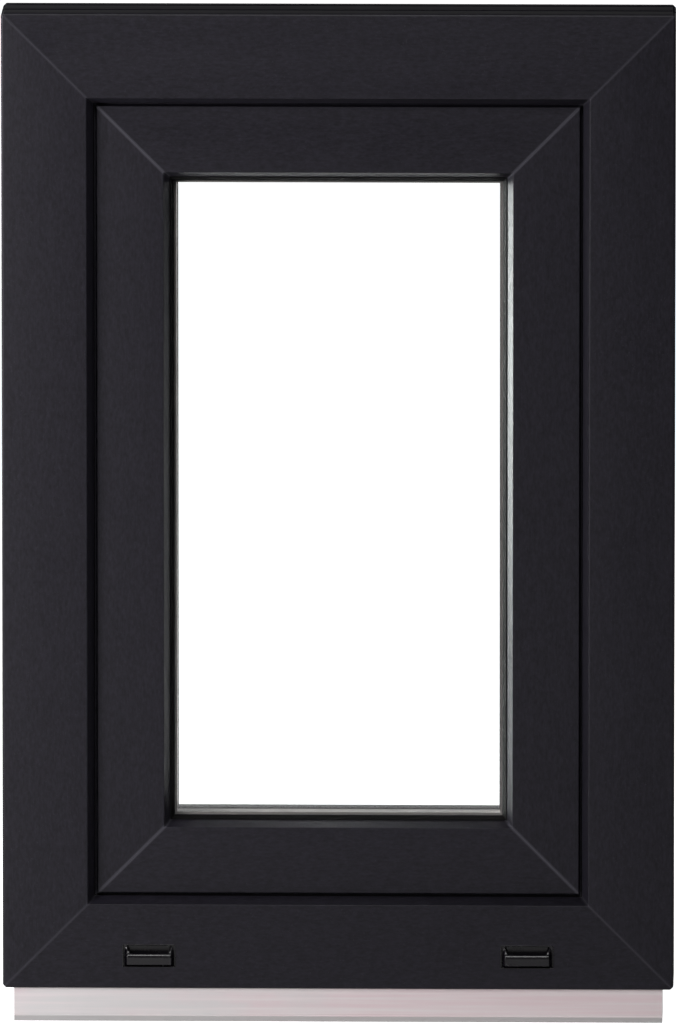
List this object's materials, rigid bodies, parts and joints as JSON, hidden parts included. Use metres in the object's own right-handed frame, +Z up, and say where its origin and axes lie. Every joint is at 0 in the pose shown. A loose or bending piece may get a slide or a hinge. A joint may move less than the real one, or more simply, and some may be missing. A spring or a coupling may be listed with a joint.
{
  "type": "casement window",
  "caption": "Tilt-and-turn casement window: dark foiled frame and sash, double glazing, hidden lock gear, lever handle and a light base profile.",
  "frame": {"origin": "middle of the base profile's underside, at half the frame's depth", "axes": "+Z up, +Y towards the room, +X towards the lock side as seen from outdoors"},
  "size_m": [0.6, 0.1354, 0.91],
  "materials": {
    "foiled_profile": "dark anthracite foil, satin with fine grain",
    "galvanised_steel": "hot-dip galvanised, dull",
    "black_seal": "extruded rubber, matt black",
    "sealant": "cured sealant, matt",
    "base_plastic": "plain light grey plastic, satin",
    "cap_plastic": "moulded plastic, satin black-grey",
    "plated_steel": "zinc plated, silver",
    "cover_plastic": "moulded cover, silver grey",
    "screw_steel": "plated steel",
    "cam_steel": "turned steel",
    "clear_glass": "clear float glass",
    "spacer_metal": "rolled spacer bar, satin",
    "block_plastic": "moulded packer",
    "handle_metal": "anodised, satin silver"
  },
  "bodies": {
    "frame": {"frame_head": "foiled_profile", "frame_sill": "foiled_profile", "frame_jamb_hinge_side": "foiled_profile", "frame_jamb_lock_side": "foiled_profile", "frame_rail_steels": "galvanised_steel", "frame_jamb_steels": "galvanised_steel", "frame_stop_seal": "black_seal", "base_profile": "base_plastic", "drain_cap_left": "cap_plastic", "drain_cap_right": "cap_plastic", "pivot_rest": "plated_steel", "pivot_rest_cover": "cover_plastic", "stay_bearing": "plated_steel", "stay_bearing_pin": "plated_steel", "stay_bearing_cover": "cover_plastic", "frame_hinge_screws": "screw_steel", "striker_upper": "plated_steel", "striker_lower": "plated_steel", "tilt_striker": "plated_steel", "striker_screws": "screw_steel"},
    "corner_pivot": {"corner_pivot": "plated_steel"},
    "sash": {"sash_top_rail": "foiled_profile", "sash_bottom_rail": "foiled_profile", "sash_hinge_stile": "foiled_profile", "sash_lock_stile": "foiled_profile", "sash_rail_steels": "galvanised_steel", "sash_stile_steels": "galvanised_steel", "sash_lip_seal": "black_seal", "pane_outer": "clear_glass", "pane_inner": "clear_glass", "spacer_bar": "spacer_metal", "edge_seal": "sealant", "glazing_blocks": "block_plastic", "glazing_seal_outer": "black_seal", "glazing_seal_inner": "black_seal", "bead_top": "foiled_profile", "bead_bottom": "foiled_profile", "bead_hinge_side": "foiled_profile", "bead_lock_side": "foiled_profile", "corner_hinge": "plated_steel", "gearbox_case": "plated_steel", "faceplate_lock": "plated_steel", "corner_drive_upper": "plated_steel", "corner_drive_lower": "plated_steel", "stay_guide": "plated_steel", "faceplate_screws": "screw_steel", "handle_rosette": "handle_metal", "rosette_screws": "screw_steel"},
    "handle": {"handle_lever": "handle_metal", "spindle": "screw_steel", "pinion": "screw_steel"},
    "lock_gear": {"lock_rod": "plated_steel", "lock_cams": "cam_steel"},
    "top_gear": {"top_rod": "plated_steel"},
    "bottom_gear": {"bottom_rod": "plated_steel", "bottom_cam": "cam_steel"},
    "stay": {"stay_arm": "plated_steel"}
  },
  "joints": [
    {"name": "turn", "type": "hinge", "parent": "frame", "child": "corner_pivot", "pos_m": [-0.26, 0.041, 0.07], "axis": [0, 0, 1], "range_deg": [0, 90]},
    {"name": "tilt", "type": "hinge", "parent": "corner_pivot", "child": "sash", "pos_m": [-0.26, 0.041, 0.07], "axis": [-1, 0, 0], "range_deg": [0, 7]},
    {"name": "handle_turn", "type": "hinge", "parent": "sash", "child": "handle", "pos_m": [0.216, 0.047, 0.47], "axis": [0, 1, 0], "range_deg": [-180, 0]},
    {"name": "lock_slide", "type": "slide", "parent": "sash", "child": "lock_gear", "axis": [0, 0, 1], "range_m": [0, 0.03594]},
    {"name": "top_slide", "type": "slide", "parent": "sash", "child": "top_gear", "axis": [1, 0, 0], "range_m": [-0.03594, 0]},
    {"name": "bottom_slide", "type": "slide", "parent": "sash", "child": "bottom_gear", "axis": [1, 0, 0], "range_m": [0, 0.03594]},
    {"name": "stay_swing", "type": "hinge", "parent": "corner_pivot", "child": "stay", "pos_m": [-0.26, 0.041, 0.86], "axis": [0, 0, 1], "range_deg": [0, 20]}
  ],
  "couplings": [
    {"joint": "lock_slide", "follows": "handle_turn", "m_per_rad": -0.01125},
    {"joint": "top_slide", "follows": "handle_turn", "m_per_rad": 0.01125},
    {"joint": "bottom_slide", "follows": "handle_turn", "m_per_rad": -0.01125},
    {"joint": "stay_swing", "follows": "tilt", "ratio": 2.81}
  ]
}
